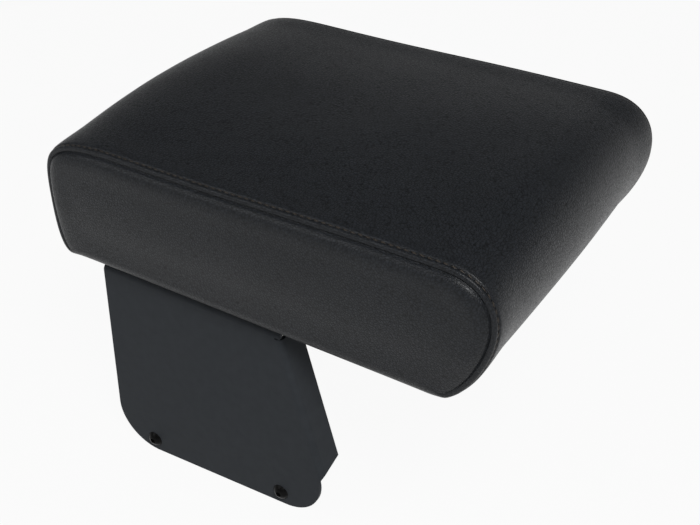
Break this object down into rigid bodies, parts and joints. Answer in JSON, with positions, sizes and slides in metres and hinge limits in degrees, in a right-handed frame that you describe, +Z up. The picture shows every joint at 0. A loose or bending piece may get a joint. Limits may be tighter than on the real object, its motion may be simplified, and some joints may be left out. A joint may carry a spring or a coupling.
{
  "type": "car centre armrest",
  "caption": "Padded centre armrest that folds up on a rear hinge, on a folded steel saddle bracket whose side walls screw to a car's centre console.",
  "frame": {"origin": "middle of the overall length and width, on the level of the bracket walls' bottom edges", "axes": "+X from the hinge towards the pad's nose, +Y to the left as one sits facing the nose, +Z up"},
  "size_m": [0.2616, 0.1854, 0.2056],
  "materials": {
    "bracket_coat": "satin",
    "screw_black": "satin",
    "hinge_steel": "satin",
    "staple_wire": "satin",
    "rubber": "matte",
    "plywood": "matte",
    "foam": "matte",
    "lining": "matte",
    "leatherette": "satin"
  },
  "bodies": {
    "bracket": {"console_bracket": "bracket_coat", "console_screws": "screw_black", "hinge_lower_leaf": "hinge_steel", "hinge_pin": "hinge_steel", "hinge_rivets": "hinge_steel", "rubber_buffers": "rubber"},
    "pad": {"hinge_upper_leaf": "hinge_steel", "hinge_screws": "hinge_steel", "base_board": "plywood", "foam_block": "foam", "underside_lining": "lining", "cover_staples": "staple_wire", "top_cover": "leatherette", "side_panel_left": "leatherette", "side_panel_right": "leatherette"}
  },
  "joints": [
    {"name": "pad_fold", "type": "hinge", "parent": "bracket", "child": "pad", "pos_m": [-0.10732, 0, 0.12493], "axis": [0, -1, 0], "range_deg": [0, 95]}
  ]
}
